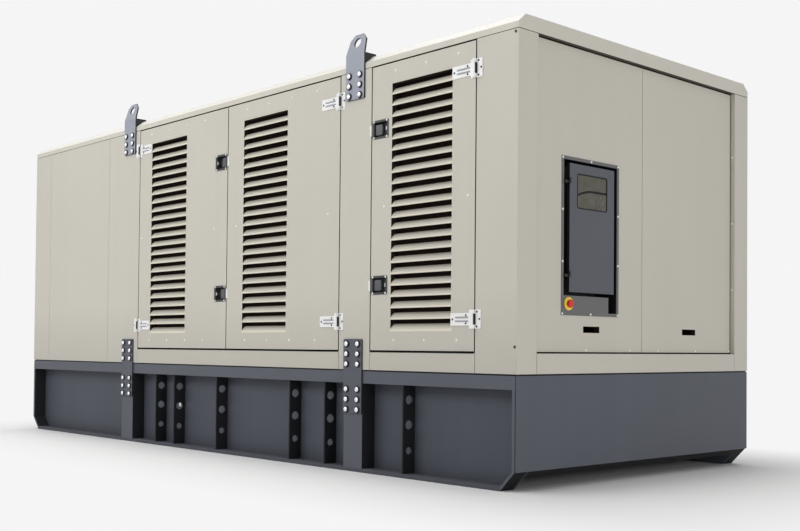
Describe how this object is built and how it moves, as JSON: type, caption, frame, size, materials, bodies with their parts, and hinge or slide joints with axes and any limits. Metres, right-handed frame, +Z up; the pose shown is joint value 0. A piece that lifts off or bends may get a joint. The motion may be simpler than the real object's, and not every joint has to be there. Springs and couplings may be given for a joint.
{
  "type": "canopied diesel generating set",
  "caption": "Long sound-proof generator canopy with louvred side doors, a recessed control panel and bent lifting lugs on a dark steel skid.",
  "frame": {"origin": "middle of the base on the floor", "axes": "+X towards the control end, +Z up, -Y towards the side seen in the picture"},
  "size_m": [5.4, 2.148, 2.4635],
  "materials": {
    "skid_paint": "satin dark grey paint",
    "canopy_paint": "fine textured beige grey powder coat",
    "zinc_plate": "bright zinc plate",
    "lug_paint": "satin grey paint",
    "black_paint": "black paint",
    "seal_rubber": "matt",
    "latch_black": "matt black",
    "frame_steel": "satin mid grey paint",
    "control_grey": "satin grey paint",
    "window_glass": "smoked, polished",
    "stop_yellow": "gloss",
    "stop_red": "gloss"
  },
  "bodies": {
    "housing": {"skid_rails": "skid_paint", "skid_webs": "skid_paint", "skid_feet": "skid_paint", "skid_toes": "skid_paint", "skid_posts": "skid_paint", "skid_gussets": "skid_paint", "skid_end_front": "skid_paint", "skid_end_rear": "skid_paint", "skid_cross_members": "skid_paint", "skid_deck": "skid_paint", "tie_straps": "skid_paint", "corner_posts": "canopy_paint", "lug_posts": "canopy_paint", "side_sills": "canopy_paint", "side_panels": "canopy_paint", "front_panels": "canopy_paint", "end_sills": "canopy_paint", "rear_panels": "canopy_paint", "rear_louvres": "canopy_paint", "roof": "canopy_paint", "doors_far": "canopy_paint", "louvres_far": "canopy_paint", "hinge_leaves": "zinc_plate", "straps_far": "zinc_plate", "lug_front_near": "lug_paint", "lug_front_far": "lug_paint", "lug_rear_near": "lug_paint", "lug_rear_far": "lug_paint", "lug_brackets": "black_paint", "control_hinges": "black_paint", "canopy_seal": "seal_rubber", "latches_far": "latch_black", "control_frame": "frame_steel", "control_tray": "frame_steel", "stop_collar": "stop_yellow"},
    "door_1": {"door_1": "canopy_paint", "louvre_1": "canopy_paint", "straps_1": "zinc_plate", "latches_1": "latch_black"},
    "door_2": {"door_2": "canopy_paint", "louvre_2": "canopy_paint", "straps_2": "zinc_plate"},
    "door_3": {"door_3": "canopy_paint", "louvre_3": "canopy_paint", "straps_3": "zinc_plate", "latches_3": "latch_black"},
    "control_door": {"control_door": "control_grey", "control_window": "window_glass", "control_knuckles": "black_paint"},
    "stop_button": {"stop_button": "stop_red"}
  },
  "joints": [
    {"name": "door_1_hinge", "type": "hinge", "parent": "housing", "child": "door_1", "pos_m": [-0.964, -1.064, 0.57], "axis": [0, 0, -1], "range_deg": [0, 110]},
    {"name": "door_2_hinge", "type": "hinge", "parent": "housing", "child": "door_2", "pos_m": [1.336, -1.064, 0.57], "axis": [0, 0, 1], "range_deg": [0, 110]},
    {"name": "door_3_hinge", "type": "hinge", "parent": "housing", "child": "door_3", "pos_m": [2.416, -1.064, 0.57], "axis": [0, 0, 1], "range_deg": [0, 110]},
    {"name": "control_door_hinge", "type": "hinge", "parent": "housing", "child": "control_door", "pos_m": [2.691, -0.642, 0.883], "axis": [0, 0, -1], "range_deg": [0, 100]},
    {"name": "stop_push", "type": "slide", "parent": "housing", "child": "stop_button", "axis": [-1, 0, 0], "range_m": [0, 0.004], "stiffness_N_per_m": 600}
  ]
}
